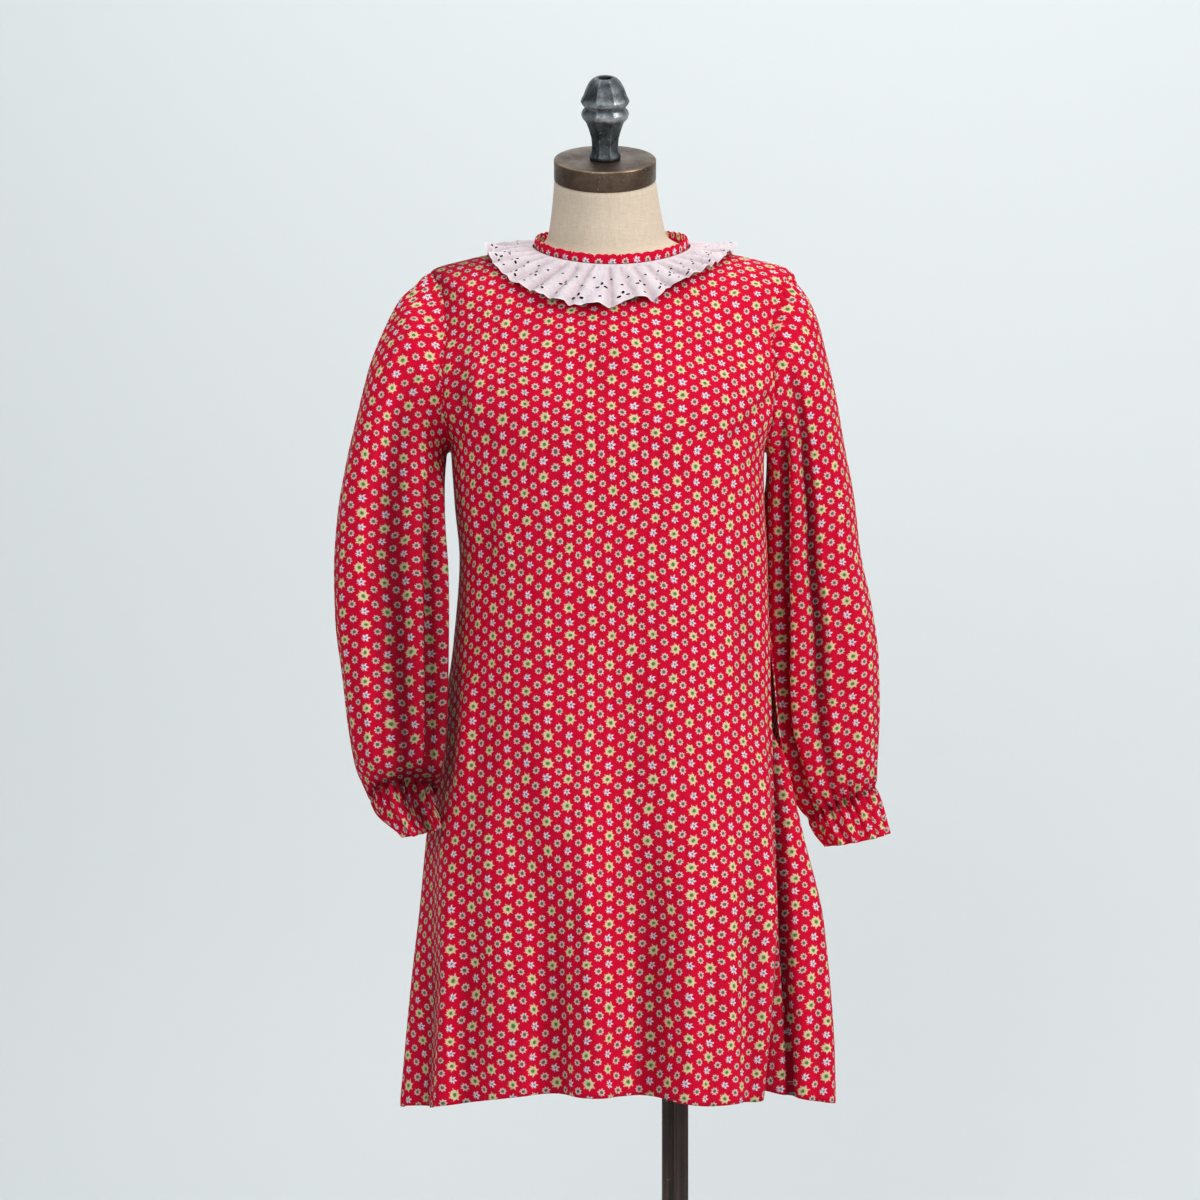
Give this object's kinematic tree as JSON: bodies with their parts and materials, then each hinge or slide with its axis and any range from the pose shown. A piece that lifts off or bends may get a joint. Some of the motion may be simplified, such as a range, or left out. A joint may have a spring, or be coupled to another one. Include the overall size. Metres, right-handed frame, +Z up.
{
  "type": "tent dress on a dress form",
  "caption": "Short red printed tent dress with long bishop sleeves and a gathered white eyelet neck ruffle, worn by a limbless dress form on a post with a round base.",
  "frame": {"origin": "middle of the round base's underside, on the post's axis", "axes": "+Z up along the post, the dress faces -Y, and +X is to a viewer's right as they face the dress"},
  "size_m": [0.5548, 0.4115, 1.5345],
  "materials": {
    "printed_cotton": "matt plain-woven cotton, crimson with a small printed floral",
    "eyelet_cotton": "thin white embroidered eyelet cotton with a scalloped edge",
    "form_linen": "natural linen stretched over a padded form",
    "cap_bronze": "darkened bronze, satin",
    "finial_pewter": "worn cast metal, blue grey",
    "post_wood": "dark stained wood, worn edges",
    "base_iron": "dark cast iron, matt"
  },
  "bodies": {
    "root": {"back_button": "printed_cotton", "base": "base_iron", "button_loop": "printed_cotton", "collar_ruffle": "eyelet_cotton", "cuff_left": "printed_cotton", "cuff_right": "printed_cotton", "dress_back_left": "printed_cotton", "dress_back_right": "printed_cotton", "dress_front": "printed_cotton", "finial": "finial_pewter", "form_torso": "form_linen", "neck_cap": "cap_bronze", "neckband": "printed_cotton", "post": "post_wood", "sleeve_left": "printed_cotton", "sleeve_right": "printed_cotton"}
  },
  "joints": []
}
